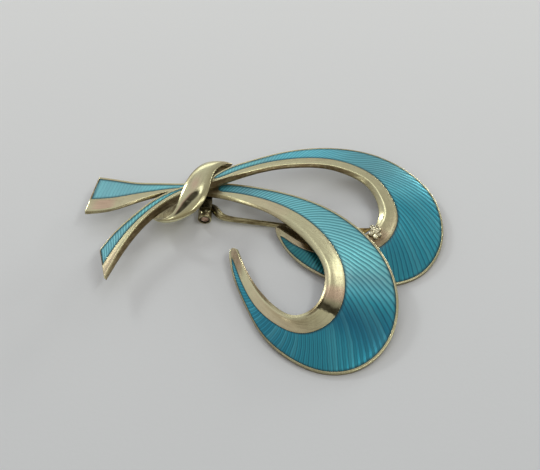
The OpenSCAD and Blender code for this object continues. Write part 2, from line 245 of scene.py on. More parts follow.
# %% Tables of the ribbons
lower_rows = [
    [-28.46, 14.53, 4.20, -30.14, 7.15, 4.20, 2.52, 0.30, 0.38],
    [-25.20, 14.16, 4.00, -26.00, 7.55, 4.20, 2.43, 0.30, 0.19],
    [-21.74, 13.63, 3.80, -22.03, 9.48, 4.00, 1.55, 0.30, 0.27],
    [-18.00, 13.75, 3.60, -18.23, 11.17, 3.80, 0.72, 0.30, 0.43],
    [-13.99, 13.75, 3.40, -14.05, 12.18, 3.60, 0.45, 0.30, 0.50],
    [-9.80, 13.97, 3.40, -10.41, 11.56, 3.60, 0.45, 0.35, 0.45],
    [-5.41, 13.62, 3.50, -6.56, 10.80, 3.80, 0.81, 0.40, 0.46],
    [-0.47, 12.62, 3.60, -2.92, 9.26, 4.00, 1.55, 0.40, 0.38],
    [5.15, 10.95, 3.60, 0.93, 7.32, 4.20, 2.05, 0.40, 0.31],
    [10.68, 8.24, 3.55, 4.82, 4.53, 4.30, 2.20, 0.81, 0.35],
    [15.74, 3.94, 3.45, 7.81, 0.54, 4.30, 2.62, 0.55, 0.35],
    [19.71, -1.89, 3.25, 9.78, -3.69, 4.20, 2.66, 0.34, 0.35],
    [21.31, -8.40, 2.50, 9.97, -7.42, 3.90, 2.86, 0.47, 0.35],
    [20.49, -14.43, 1.65, 8.99, -10.48, 3.50, 3.12, 0.48, 0.35],
    [17.60, -18.98, 1.00, 7.10, -12.42, 3.10, 3.24, 0.62, 0.35],
    [13.27, -21.50, 0.60, 4.67, -13.13, 2.80, 3.27, 0.73, 0.35],
    [8.48, -21.52, 0.60, 2.38, -12.09, 2.60, 3.63, 0.75, 0.35],
    [3.81, -19.28, 0.90, 0.30, -9.99, 2.40, 3.75, 0.75, 0.35],
    [-0.33, -15.42, 1.20, -1.39, -7.49, 2.30, 3.55, 0.61, 0.35],
    [-2.86, -10.28, 1.50, -2.92, -4.31, 2.20, 3.31, 0.42, 0.35],
    [-5.10, -4.68, 1.80, -4.04, -1.17, 2.20, 1.94, 0.30, 0.30],
    [-6.04, 0.80, 2.02, -4.78, 1.16, 2.20, 1.03, 0.29, 0.30],
]
upper_rows = [
    [-26.77, -1.11, 4.40, -25.60, -6.42, 4.00, 2.27, 0.34, 0.30],
    [-24.72, 2.36, 4.60, -23.67, -1.09, 4.20, 1.30, 0.60, 0.50],
    [-21.86, 5.73, 4.80, -20.83, 4.21, 4.50, 0.62, 0.65, 0.76],
    [-18.30, 9.28, 5.00, -17.25, 8.11, 4.90, 0.45, 0.60, 1.07],
    [-14.18, 11.54, 5.10, -13.63, 10.57, 5.00, 0.51, 0.55, 1.16],
    [-10.10, 13.10, 5.15, -10.02, 12.20, 5.10, 0.25, 0.50, 0.94],
    [-6.43, 15.83, 5.20, -6.05, 13.82, 5.10, 0.57, 0.50, 0.66],
    [-2.50, 17.59, 5.00, -2.21, 15.17, 5.20, 0.99, 0.50, 0.43],
    [2.67, 19.88, 4.50, 2.22, 16.50, 5.00, 1.27, 0.50, 0.33],
    [8.30, 21.42, 3.90, 6.80, 17.17, 4.70, 1.56, 0.50, 0.35],
    [14.18, 21.78, 3.30, 10.92, 17.20, 4.40, 1.71, 0.50, 0.43],
    [20.06, 20.59, 2.70, 14.76, 16.00, 4.10, 1.81, 0.56, 0.55],
    [25.24, 17.37, 2.10, 17.89, 14.08, 3.80, 1.67, 0.69, 0.60],
    [29.20, 12.15, 1.60, 19.59, 10.87, 3.50, 1.94, 0.67, 0.60],
    [30.15, 5.84, 1.20, 20.19, 7.76, 3.10, 2.29, 0.88, 0.60],
    [29.06, 0.95, 0.90, 19.19, 5.44, 2.80, 2.69, 0.65, 0.60],
    [25.99, -3.23, 0.60, 17.65, 3.83, 2.50, 2.94, 0.45, 0.55],
    [21.33, -5.29, 0.60, 15.16, 2.47, 2.30, 2.93, 0.50, 0.50],
    [15.86, -5.44, 0.80, 12.37, 1.67, 2.20, 2.50, 0.70, 0.45],
    [10.77, -4.51, 1.10, 9.47, 1.72, 2.20, 1.92, 0.99, 0.40],
    [6.67, -2.22, 1.40, 6.43, 2.01, 2.30, 1.25, 1.31, 0.35],
    [3.56, 0.86, 1.80, 3.87, 3.68, 2.40, 1.08, 1.41, 0.30],
    [1.63, 4.72, 2.20, 1.79, 5.18, 2.50, 0.45, 1.09, 0.25],
]
print("rows:", len(lower_rows), "for the lower ribbon and", len(upper_rows), "for the upper")

# %% [markdown]
# The sheet's edge is 0.6 mm thick, the field is sunk by half of that, and a rim of 0.3 mm also
# closes the field at the cut tail. The enamel has a hair's breadth of room at its sides and below,
# dips a little at its edges, and rises by a small part of its width.
#
# A ribbon has two fields, one on each side of the knot, and is bare under the knot. Each field is
# given in rows: its start, the length of the rounding there, its stop, and the rounding there.

# %% Sheet and fields
EDGE_T, RECESS, WALL_H, TAIL_RIM = 0.6, 0.32, 0.3, 0.3
GAP, FLOOR_GAP, SINK, RISE = 0.03, 0.06, 0.03, 0.012
lower = {"control": sharpened(lower_rows), "last": len(lower_rows) - 1, "rim": 0.38,
         "fields": [(0.0, 0.0, 4.85, 0.1), (5.52, 0.30, 20.6, 0.45)]}
upper = {"control": sharpened(upper_rows), "last": len(upper_rows) - 1, "rim": 0.28,
         "fields": [(0.0, 0.0, 4.75, 0.1), (5.36, 0.35, 21.5, 0.45)]}
LEAST_OPEN = 0.06


def openness(blade, s):
    """How far the sunk field is open: 1 inside a field, falling to 0 along a quarter ellipse at each
    rounded end, and 0 between the fields."""
    wide = np.zeros_like(s)
    for start, run_in, stop, run_out in blade["fields"]:
        rise = np.clip((start + run_in - s) / max(run_in, 1e-9), 0, 1)
        fall = np.clip((s - stop + run_out) / run_out, 0, 1)
        quarter = np.sqrt(np.maximum(1 - np.maximum(rise, fall) ** 2, 0))
        wide = np.where((s > start) & (s < stop), quarter, wide)
    return wide


def places(blade, s):
    """Named points across the ribbon at each s: outer edge, rim, border, crest and foot of the bevel.
    The line across runs from the outer edge to the crest, and the bevel falls square to the crest
    line, toward the inside of the curl. At a rounded end the sunk field closes in a half ellipse."""
    r = rows_at(blade["control"], s)
    ahead = rows_at(blade["control"], np.minimum(s + 0.05, blade["last"]))[:, 3:5]
    behind = rows_at(blade["control"], np.maximum(s - 0.05, 0))[:, 3:5]
    d = (ahead - behind) / np.linalg.norm(ahead - behind, axis=1, keepdims=True)
    inward = np.stack([d[:, 1], -d[:, 0], 0 * d[:, 0]], -1)
    outer, crest = r[:, 0:3], r[:, 3:6]
    across = (crest - outer) / np.linalg.norm((crest - outer)[:, :2], axis=1, keepdims=True)
    border = crest - r[:, 6:7] * across
    field = np.linalg.norm((border - outer)[:, :2], axis=1, keepdims=True)
    rim = outer + np.minimum(blade["rim"], 0.45 * field) * across
    keep = np.maximum(openness(blade, s), LEAST_OPEN)[:, None]
    middle = (rim + border) / 2
    rim, border = middle + keep * (rim - middle), middle + keep * (border - middle)
    foot = crest + r[:, 7:8] * inward - r[:, 8:9] * [0, 0, 1]
    return outer, rim, border, crest, foot


_, rim, border, _, _ = places(lower, np.array([12.0]))
print("at row 12 the lower field is", np.linalg.norm(border - rim).round(1), "mm wide")

# %% [markdown]
# The cross sections stand closer together at the cut tail and at the tip. At the tail the first few
# are drawn in a little, which rounds the cut edge. At the tip they shrink along a quarter circle to
# a point, like the end of a finger.

# %% Stations along a ribbon
TIP_RUN = 0.32
ROWS_STEP = 1 / 22


def tail_share(blade):
    """The part of the first stretch that the metal rim at the cut tail takes."""
    a, b = rows_at(blade["control"], [0.0, 1.0])[:, 3:5]
    return TAIL_RIM / np.linalg.norm(b - a)


def stations(blade):
    """Even steps, with closer ones round the cut tail, the rounded ends of the fields and the tip."""
    share, last = tail_share(blade), blade["last"]
    parts = [np.array([1e-6, 0.15, 0.35, 0.6, 0.85, 1.0]) * share, [share + 0.002]]
    parts.append(np.arange(share + 0.02, last - TIP_RUN, ROWS_STEP))
    close = np.linspace(0, 1, 14)[1:] ** 2
    for start, run_in, stop, run_out in blade["fields"]:
        parts += [[stop - 0.001, stop + 0.003], stop - run_out * close]
        if run_in:
            parts += [[start - 0.003, start + 0.001], start + run_in * close]
    parts.append(last - TIP_RUN + TIP_RUN * np.sin(np.linspace(0, np.pi / 2, 12)))
    s = np.unique(np.concatenate(parts))
    return s[np.concatenate([[True], np.diff(s) > 0.0009])]


print("stations:", len(stations(lower)), "and", len(stations(upper)))

# %% [markdown]
# The cross section has thirteen corners. A polished border isn't flat: hammering and polishing dish
# it a little, and the wheel rolls its crest over. Three points and the crest itself are lowered for
# that, each by its own share of the dish. The wide, softly rounded crest is what catches the light
# as one bright line along the whole ribbon.
#
# Each corner has a name, a length that it is cut back by, and the tarnish that it holds: none where
# a cloth reaches, and most in the sunk field's corners, on the walls and underneath.

# %% Corners of the cross section
ROUND = 5
DISH, WIDEST_DISH = 0.03, 3
DISHED = ((0.3, 0.8), (0.6, 1.1), (0.84, 0.9), (1.0, 1.6))
corner_table = [
    ("outer edge", 0.10, 0.12), ("rim", 0.05, 0.08), ("field by the rim", 0.02, 1.0),
    ("field by the border", 0.02, 1.0), ("border", 0.05, 0.15), ("dish, first", 0.3, 0.05),
    ("dish, second", 0.3, 0.0), ("dish, third", 0.12, 0.0), ("crest", 0.34, 0.0),
    ("bevel", 0.12, 0.15), ("foot", 0.12, 0.35), ("wall", 0.08, 0.8), ("underside", 0.10, 0.9),
]


def lowered(p, d):
    """Points moved straight down by d, but not below the table."""
    return np.stack([p[:, 0], p[:, 1], np.maximum(p[:, 2] - d, 0)], -1)


def section_corners(blade, s):
    """The corners of the cross section at each s, from the outer edge inward and back underneath. A
    dished point lies below the straight line from border to crest by its share of the dish, which
    grows with the width of the border."""
    outer, rim, border, crest, foot = places(blade, s)
    sunk = (s > tail_share(blade) + 0.001) & (openness(blade, s) > 0)
    depth = np.where(sunk, RECESS, 0.0)[:, None]
    up = np.array([[0, 0, 1.0]])
    span = crest - border
    width = np.linalg.norm(span[:, :2], axis=1, keepdims=True)
    dish = DISH * np.minimum(width, WIDEST_DISH)
    *low, crest = [border + t * span - dish * share * up for t, share in DISHED]
    corners = np.stack([
        outer, rim, rim - depth * up, border - depth * up, border, *low, crest,
        crest + 0.3 * (foot - crest), foot, lowered(foot, WALL_H), lowered(outer, EDGE_T),
    ], 1)
    corners[..., 2] = np.maximum(corners[..., 2], 0)
    return corners


print("corners:", [name for name, _, _ in corner_table])

# %% [markdown]
# Dirt with painted shade, coppery patches with painted warm reflection, and a painted dark reflection
# are placed by short lists of marks along the ribbon. The dark reflection lies on the border and
# stops short at a ragged front.

# %% Metal of a ribbon
CUT_ROUND = 0.10


def spread_out(s, columns, marks):
    """A fact for a ribbon, 0 to 1. Each mark holds a centre and a half length in rows, a strength,
    and the first and last corner covered. It fades along s like a flat-topped bell."""
    out = np.zeros((len(s), columns))
    for centre, half, strong, first, final in marks:
        part = slice(first * (ROUND + 1), (final + 1) * (ROUND + 1))
        bell = strong * np.exp(-(((s - centre) / half) ** 4))
        out[:, part] = np.maximum(out[:, part], bell[:, None])
    return out


def ribbon_shell(blade, dirt_and_shade, blush, front):
    """One closed skin: corners of the section, rounded, swept along s. The tarnish fact is 0 on what
    a polishing cloth reaches and 1 on the walls and the underside, and darker where the marks say so;
    the marks hold dirt, painted shade and painted dark reflection. The fact called blush says where
    the gilding is coppery and where a warm reflection is painted. The third fact says where a painted
    dark reflection may lie, and the fact called front counts rows toward its front, with 2 there."""
    last, share = blade["last"], tail_share(blade)
    s = stations(blade)
    rings = rounded(section_corners(blade, s), [trim for _, trim, _ in corner_table], ROUND)
    columns = rings.shape[1]
    held = np.array([dirt for _, _, dirt in corner_table]).repeat(ROUND + 1)[None]
    middle = rings.mean(1, keepdims=True)
    toward_tip = np.clip((s - last + TIP_RUN) / TIP_RUN, 0, 1)
    shrink = np.sqrt(np.maximum(1 - toward_tip**2, 0.0004))[:, None, None]
    rings = middle + shrink * (rings - middle)
    drawn = CUT_ROUND * np.clip(1 - s / (0.6 * share), 0, 1) ** 2
    rings = inset(rings, drawn[:, None, None])
    along = np.broadcast_to(s[:, None], rings.shape[:2])
    steps = np.linalg.norm(np.diff(rings, axis=1), axis=2)
    round_it = np.concatenate([np.zeros((len(s), 1)), np.cumsum(steps, 1)], 1)
    # The marks paint shade and dark reflection into the tarnish fact along with dirt, and a dark
    # reflection on the border up to its front.
    return skin(
        rings, uv=np.stack([along, round_it], -1),
        tarnish=np.maximum(held, spread_out(s, columns, dirt_and_shade)),
        blush=spread_out(s, columns, blush),
        stain=spread_out(s, columns, [(front, 1.3, 1.0, 4, 8)]),
        front=np.clip(s[:, None] - front + 2, 0, 3),
    )


faded = spread_out(np.array([0.5]), ROUND + 1, [(0, 1, 1, 0, 0)])[0, 0]
print("halfway out, a mark keeps", faded.round(2), "of its strength")

# %% [markdown]
# ## The engraved lines under the enamel
# Before the enamel is fired, a machine cuts fine lines into the field, side by side across the
# ribbon. They lean, bend a little and fan out round the curl. To place them, each point of the field
# gets a line number: whole numbers are the lines, and fractions lie between two of them. A pattern
# that repeats with each whole number then gives one groove for each line.
#
# The table gives, for each row of the ribbon, the number at the outer edge, how fast it grows across
# the field, and how much faster it grows toward the border. The numbers go into the first UV
# coordinate.

# %% Numbers of the lines
lower_lines = sharpened([
    [0.0, 0.9, 0.0], [6.3, 1.1, 0.0], [12.6, 1.2, 0.0], [19.1, 1.2, 0.0], [26.0, 1.2, 0.0],
    [33.4, 1.2, 0.0], [41.2, 1.2, 0.0], [49.4, 1.0, 0.0], [57.8, 1.8, -0.3], [64.8, 3.7, -0.3],
    [70.2, 5.8, 0.2], [74.4, 5.7, 1.4], [78.4, 6.4, 1.4], [82.3, 6.3, 1.4], [86.3, 6.6, 1.3],
    [91.0, 5.8, 1.8], [96.8, 5.4, 1.5], [103.1, 4.8, 1.4], [109.7, 4.9, 0.5], [118.0, 4.2, 0.1],
    [127.8, 3.1, 0.0], [137.2, 2.1, 0.0],
])
upper_lines = sharpened([
    [0.0, 0.6, 0.0], [6.6, 0.8, 0.0], [13.6, 1.1, 0.0], [20.3, 1.1, 0.0], [26.9, 1.0, 0.0],
    [33.5, 0.9, 0.0], [40.3, 0.9, 0.0], [47.3, 1.1, 0.0], [55.1, 1.6, -0.1], [62.5, 2.8, -0.1],
    [68.1, 4.2, 0.0], [72.4, 6.0, 0.0], [76.1, 7.1, 0.3], [79.9, 7.5, 1.0], [84.0, 7.2, 0.9],
    [88.2, 6.2, 1.0], [93.2, 5.5, 1.2], [98.9, 5.0, 1.0], [105.3, 4.6, 0.8], [112.5, 4.3, 0.5],
    [120.7, 3.2, 0.5], [128.5, 2.2, 0.2], [134.5, 1.5, 0.0],
])
print("lines on the two ribbons:", lower_lines[-2][0].round(), "and", upper_lines[-2][0].round())

# %% [markdown]
# ## The enamel
# Enamel is coloured glass, ground, laid wet into the sunk field and melted there. It fills the field
# almost to the rim, and surface tension leaves it slightly domed and dipped at its edges. The mesh
# is one closed lens-like body for each field, with many points across its top.

# %% Body of the enamel
ACROSS = (1 - np.cos(np.linspace(0, np.pi, 27))) / 2


def glass_stations(blade, field):
    """Stations along one field: even steps, and closer ones at a rounded end or a cut tail."""
    start, run_in, stop, run_out = field
    first = tail_share(blade) + 0.012 if run_in == 0 else start + 0.006
    last = stop - 0.006
    close = np.linspace(0, 1, 24) ** 2
    head = first + (run_in * close if run_in else np.array([0, 0.004, 0.012, 0.03]))
    even = np.arange(head[-1] + 0.03, last - run_out - 0.02, 1 / 20)
    return np.concatenate([head, even, last - run_out * close[::-1]])


def enamel_shell(blade, lines, field, glass_and_shading):
    """Top: straight across plus a low dome, 1 - (2t - 1)^4 high, that dips at both edges; sides and
    floor a hair's breadth inside the sunk field. The fact called edge is the distance in millimetres
    to the nearer side or end. The facts called depth, cut, green and double say how dark or pale the
    glass is painted, with painted sheen and painted shade in it, how strongly the lines show, how
    green it is, and how strongly a second line shows halfway, each a running mean of the table along
    s."""
    s = glass_stations(blade, field)
    _, rim, border, _, _ = places(blade, s)
    width = np.linalg.norm(border - rim, axis=1, keepdims=True)
    across = (border - rim) / np.maximum(width, 1e-9)
    gap = np.minimum(GAP, 0.4 * width)
    a, b = rim + gap * across, border - gap * across
    width = np.linalg.norm(b - a, axis=1)
    t = ACROSS
    top = a[:, None] + t[None, :, None] * (b - a)[:, None]
    lift = RISE * width[:, None] * (1 - (2 * t - 1) ** 4) - SINK
    ends = np.clip((s - s[0]) / 0.02, 0, 1)[:, None]
    top[..., 2] += lift - 0.02 * (1 - ends)
    floor_depth = [0, 0, RECESS - FLOOR_GAP]
    rings = np.concatenate([top, np.stack([b - floor_depth, a - floor_depth], 1)], 1)
    share = np.concatenate([t, [1.0, 0.0]])
    steps = np.linalg.norm(np.diff((a + b) / 2, axis=0), axis=1)
    length = np.concatenate([[0], np.cumsum(steps)])
    from_end = np.minimum(length, length[-1] - length)[:, None]
    side = np.minimum(share, 1 - share)[None] * width[:, None]
    first_line, growth, more = rows_at(lines, s).T[:, :, None]
    number = first_line + growth * share + more * share**2
    uv = np.stack([number, np.broadcast_to(share, side.shape)], -1)
    # The depth column holds painted sheen below 0 and deeper glass with painted shade above 0.
    row, *columns = np.array(glass_and_shading).T
    near = s[:, None] + np.linspace(-0.4, 0.4, 9)
    depth, cut, green, double = (np.interp(near, row, c).mean(1)[:, None] for c in columns)
    edge = np.minimum(side, from_end)
    return skin(rings, uv=uv, edge=edge, depth=depth, cut=cut, green=green, double=double)


print("stations of the glass:", [len(glass_stations(lower, field)) for field in lower["fields"]])

# %% [markdown]
# ## Finishes
# A small library of node helpers keeps the materials short. Each one is a graph of plain nodes:
# noise for colour changes and pits, stretched noise for polishing lines, and the attributes that the
# meshes carry.

# %% Node helpers
class Finish:
    """A node material under construction: node() adds a node, sets its inputs and links what is a
    socket. An input is called by its name, or i0, i1 and so on by its number."""

    def __init__(self, name):
        self.material = bpy.data.materials.new(name)
        self.material.use_nodes = True
        self.tree = self.material.node_tree
        self.shader = self.tree.nodes["Principled BSDF"]
        self.place = self.node("ShaderNodeTexCoord").outputs["Object"]

    def node(self, kind, props=None, **inputs):
        """A new node. props are its settings."""
        n = self.tree.nodes.new(kind)
        for key, value in (props or {}).items():
            setattr(n, key, value)
        for key, value in inputs.items():
            numbered = key[0] == "i" and key[1:].isdigit()
            self.feed(n.inputs[int(key[1:]) if numbered else key], value)
        return n

    def feed(self, socket, value):
        """Link the socket to another one, or give it a value."""
        if isinstance(value, bpy.types.NodeSocket):
            self.tree.links.new(value, socket)
        else:
            socket.default_value = value

    def set(self, **inputs):
        """Feed inputs of the shader, by their names with _ for a space."""
        for key, value in inputs.items():
            self.feed(self.shader.inputs[key.replace("_", " ")], value)

    def math(self, operation, a, b=0.0, c=0.0, clamp=False):
        """One step of arithmetic on two or three values."""
        props = {"operation": operation, "use_clamp": clamp}
        return self.node("ShaderNodeMath", props, i0=a, i1=b, i2=c).outputs[0]

    def times(self, a, b):
        """The product of two values."""
        return self.math("MULTIPLY", a, b)

    def remap(self, value, low, high, to_low=0.0, to_high=1.0):
        """A value carried from low and high to two other ends, and held at them."""
        n = self.node("ShaderNodeMapRange", None, i0=value, i1=low, i2=high, i3=to_low, i4=to_high)
        return n.outputs[0]

    def mix(self, share, a, b):
        """Colour a where the share is 0, colour b where it is 1, and a blend between."""
        n = self.node("ShaderNodeMix", {"data_type": "RGBA"}, i0=share)
        for socket, value in ((n.inputs[6], a), (n.inputs[7], b)):
            self.feed(socket, (*value, 1.0) if isinstance(value, tuple) else value)
        return n.outputs[2]

    def scaled(self, place, scale, turn=0.0):
        """A place stretched along its axes and then turned about the third."""
        n = self.node("ShaderNodeMapping", None, Vector=place, Rotation=(0, 0, turn), Scale=scale)
        return n.outputs[0]

    def noise(self, scale, detail=3.0, rough=0.5, place=None):
        """Cloudy noise from 0 to 1. A larger scale makes smaller clouds."""
        n = self.node("ShaderNodeTexNoise", None, Vector=place or self.place, Scale=scale,
                      Detail=detail, Roughness=rough)
        return n.outputs["Fac"]

    def bump(self, height, distance, strength=1.0, normal=None):
        """A surface tilted by the slope of a height, on top of another bump if there is one."""
        n = self.node("ShaderNodeBump", None, Height=height, Distance=distance, Strength=strength)
        if normal:
            self.feed(n.inputs["Normal"], normal)
        return n.outputs[0]

    def fact(self, name):
        """A number that the mesh keeps for each point."""
        return self.node("ShaderNodeAttribute", {"attribute_name": name}).outputs["Fac"]

    def uv(self):
        """The place of a point in the piece's UV map."""
        return self.node("ShaderNodeUVMap", {"uv_map": UV_NAME}).outputs[0]


print("node helpers:", [name for name in vars(Finish) if name[0] != "_"])

# %% [markdown]
# ### Silver gilt
# The gilding is pale, between silver and champagne. It is mostly clean and satin-bright, a little
# warmer in some places, partly as painted warm reflection, with fine polishing lines, small pits, and
# brown tarnish where a cloth never reaches. The same brown also paints shade and dark reflection
# where the marks say so. Long thin streaks of dirt follow the ribbon. They come from noise on the UV
# map, which runs along and round the ribbon, because a pattern in space would cut across its curl.

# %% Clean gilding, dirt and painted shade
COPPERY = (0.82, 0.60, 0.43)
DIRT_AND_SHADE = (0.10, 0.075, 0.04)


def gilding(f, clean, mottle, specks):
    """Clean gilding, coppery where a slow noise says and where the fact blush paints copper wear and
    warm reflection, mottled and specked.
    """
    patches = f.remap(f.noise(150, 2.0), 0.55, 0.8, 0.0, 0.5)
    colour = f.mix(f.math("MAXIMUM", patches, f.fact("blush")), clean, COPPERY)
    colour = f.mix(f.times(mottle, 0.2), colour, (0.52, 0.45, 0.28))
    return f.mix(f.times(specks, 0.5), colour, (0.25, 0.17, 0.09))


def dirtied_and_shaded(f, colour, darkened, grime):
    """Brown by the darkened share, which holds dirt and painted shade, lighter and darker with the
    grime, and streaked along the ribbon: the streaks are faint on clean metal and strong on darkened
    metal."""
    colour = f.mix(darkened, colour, f.mix(grime, DIRT_AND_SHADE, tuple(2.8 * c for c in DIRT_AND_SHADE)))
    streaks = f.noise(1.0, 4.0, 0.6, f.scaled(f.uv(), (0.9, 7.0, 1.0)))
    streaked = f.math("ADD", f.times(darkened, 0.75), 0.1, clamp=True)
    return f.mix(f.times(streaked, f.remap(streaks, 0.48, 0.62)), colour, DIRT_AND_SHADE)


print("coppery metal", COPPERY, "and soil", DIRT_AND_SHADE)

# %% [markdown]
# The painted dark reflection grows over about a row and a half of the ribbon and ends at an uneven
# front. The fact called front counts up to 2 there, so the dark reflection is a ramp below 2 and
# nothing past it, with noise added to the count to make the front ragged.

# %% Painted dark reflection and the whole gilt finish
DARK_REFLECTION = (0.035, 0.028, 0.013)


def stained(f, colour, mottle):
    """Painted dark reflection where its fact allows it: a ramp over the rows before the front, raised
    to the power 1.4, and cut off past it."""
    rows = f.math("ADD", f.fact("front"), f.remap(f.noise(700, 3.0), 0.3, 0.7, -2.1, -1.9))
    growing = f.math("POWER", f.math("MULTIPLY_ADD", rows, 1.45, 1.5, clamp=True), 1.4)
    held = f.remap(rows, -0.03, 0.03, 1.0, 0.0)
    dark = f.times(f.fact("stain"), f.times(growing, held))
    return f.mix(f.times(dark, f.remap(mottle, 0.0, 1.0, 0.97, 0.86)), colour, DARK_REFLECTION)


def gilt(name, clean, haze):
    """The colour is built by the functions before, with dirt and painted shade. The roughness is the
    haze, changed by fine lines in two directions and by the darkened share, and the lines, mottles
    and specks also raise and lower the surface by microns."""
    f = Finish(name)
    mottle = f.remap(f.noise(900, 4.0, 0.6), 0.35, 0.7)
    specks = f.remap(f.noise(2600, 2.0, 0.5), 0.68, 0.78)
    grime = f.noise(1400, 4.0, 0.65)
    # The tarnish fact holds dirt and painted shade, so this share darkens both.
    darkened = f.math("MULTIPLY", f.fact("tarnish"), f.remap(grime, 0.3, 0.6, 0.7, 1.1), clamp=True)
    colour = dirtied_and_shaded(f, gilding(f, clean, mottle, specks), darkened, grime)
    lines = f.noise(120, 3.0, 0.6, f.scaled(f.place, (1.0, 28.0, 1.0), 0.6))
    cross_lines = f.noise(120, 3.0, 0.6, f.scaled(f.place, (22.0, 1.0, 1.0), 0.3))
    fine = f.math("ADD", lines, cross_lines)
    satin = f.remap(fine, 0.7, 1.3, haze - 0.04, haze + 0.08)
    surface = f.bump(fine, 0.000006, 0.5)
    surface = f.bump(f.math("SUBTRACT", mottle, specks), 0.000006, 0.5, surface)
    f.set(Base_Color=stained(f, colour, mottle), Metallic=1.0, Normal=surface)
    f.set(Roughness=f.math("ADD", satin, f.times(darkened, 0.2)))
    return f.material


ribbon_gilt = gilt("ribbon_gilt", (0.80, 0.765, 0.48), 0.17)
knot_gilt = gilt("knot_gilt", (0.76, 0.73, 0.46), 0.14)
print("nodes in the gilt finish:", len(ribbon_gilt.node_tree.nodes))

# %% [markdown]
# ### Turquoise enamel over engraved silver
# Light passes the clear glass, meets the bright cut metal and comes back coloured. One shader does
# both: a tinted metal with the grooves as bumps, under a smooth clear coat for the glass. The metal
# is what makes real enamel of this kind shine brighter on the side that faces the light.
#
# The mesh says how dark or pale the glass is painted at each point: -2 is the palest, 0 is the plain
# turquoise and 1 is the darkest. Below 0 this is painted sheen; above 0 it is partly deeper glass and
# partly painted shade. The glass also darkens in the last half millimetre before the metal, as
# thicker glass with painted shade from the rim.

# %% Colour of the glass
PALE, DEEP_AND_SHADED, DARK_EDGE = (0.30, 0.92, 0.97), (0.006, 0.17, 0.28), (0.008, 0.045, 0.06)


def glass_colour(f, depth):
    """Blends in a row: a slow noise, four stretches of the depth, two toward painted sheen and two
    toward deeper glass with painted shade, and the greenness.
    """
    patches = f.remap(f.noise(110, 2.0), 0.3, 0.7)
    colour = f.mix(f.times(patches, 0.3), (0.16, 0.67, 0.80), (0.14, 0.62, 0.80))
    # Below 0 the depth paints sheen, above 0 it is deeper glass with painted shade.
    colour = f.mix(f.remap(depth, 0.0, -1.0), colour, (0.25, 0.61, 0.68))
    colour = f.mix(f.remap(depth, -1.0, -2.0), colour, PALE)
    colour = f.mix(f.remap(depth, 0.0, 0.5), colour, (0.04, 0.43, 0.57))
    colour = f.mix(f.remap(depth, 0.5, 1.0), colour, DEEP_AND_SHADED)
    return f.mix(f.times(f.fact("green"), 0.8), colour, (0.03, 0.22, 0.17))


print("the glass runs from", PALE, "to", DEEP_AND_SHADED)

# %% [markdown]
# The line number from the UV map makes the grooves. Its fraction is 0 at a groove and grows to the
# next one, so one side of each ridge can be given painted shade. Folded back at a half, it becomes
# the distance to the nearest groove. Each ridge has a tone of its own, and some ridges get a painted
# highlight, because no two cuts catch the light alike.

# %% Engraving and the whole enamel
def engraved(f, colour, depth, number, ridge):
    """Painted shade on one side of each ridge, darker glass in each groove and in a second groove
    halfway, and a painted highlight on some ridges. The fact cut says how strong the lines are."""
    cut = f.fact("cut")
    # One dark colour serves both the painted shade on the flanks and the darker glass in the grooves.
    shade = f.mix(f.math("MAXIMUM", depth, 0.0), (0.012, 0.17, 0.26), (0.002, 0.06, 0.12))
    # Painted shade: each ridge is darkest just after its groove and lightens toward the next.
    flank = f.remap(f.math("FRACT", number), 0.0, 1.0, 0.30, 0.0)
    colour = f.mix(f.times(flank, f.math("MINIMUM", cut, 1.3)), colour, shade)
    reach = f.math("MULTIPLY_ADD", cut, 0.09, 0.08)
    away = f.math("DIVIDE", f.math("SUBTRACT", ridge, 0.02), reach)
    groove = f.math("SUBTRACT", 1.0, away, clamp=True)
    each = f.node("ShaderNodeTexWhiteNoise", {"noise_dimensions": "1D"}, W=f.math("FLOOR", number))
    tone = each.outputs["Value"]
    lined = f.times(groove, f.remap(tone, 0.0, 1.0, 0.7, 0.9))
    colour = f.mix(f.times(lined, f.math("MINIMUM", cut, 1.08)), colour, shade)
    between = f.math("PINGPONG", f.math("ADD", number, 0.5), 0.5)
    halfway = f.remap(between, 0.02, 0.18, 1.0, 0.0)
    colour = f.mix(f.times(halfway, f.fact("double")), colour, shade)
    # Painted highlight: some ridges are lightened toward the pale colour.
    return f.mix(f.times(f.remap(tone, 0.5, 1.0), 0.12), colour, PALE)


def enamel(name):
    """Engraved glass, darker toward its edge by a power of the distance, as thicker glass with
    painted shade from the rim, over ridges 0.08 mm high.
    """
    f = Finish(name)
    line = f.node("ShaderNodeSeparateXYZ", None, Vector=f.uv()).outputs[0]
    number = f.math("ADD", line, f.times(f.noise(700, 2.0), 0.3))
    ridge = f.math("PINGPONG", number, 0.5)
    depth = f.fact("depth")
    colour = engraved(f, glass_colour(f, depth), depth, number, ridge)
    # Darker glass near the metal, with painted shade from the rim.
    rim = f.math("POWER", f.remap(f.fact("edge"), 0.02, 0.50, 1.0, 0.0), 1.2)
    colour = f.mix(f.times(rim, 0.92), colour, DARK_EDGE)
    surface = f.bump(ridge, 0.00008, 0.75)
    surface = f.bump(f.noise(5200, 2.0), 0.000004, 0.4, surface)
    f.set(Base_Color=colour, Metallic=0.8, Roughness=0.31, Normal=surface)
    f.set(Coat_Weight=0.6, Coat_Roughness=0.1, Coat_IOR=1.45)
    return f.material


turquoise = enamel("turquoise_enamel")
print("nodes in the enamel:", len(turquoise.node_tree.nodes))

# %% [markdown]
# ### Plainer metals
# The hinge, the rivet, the pin, the catch and the solder are small and rough. One function makes them
# all from two colours and a lumpy noise: the lumps are clean and the hollows hold dirt. For the pin
# the noise is stretched along the wire, as drawing it through a plate leaves long marks.

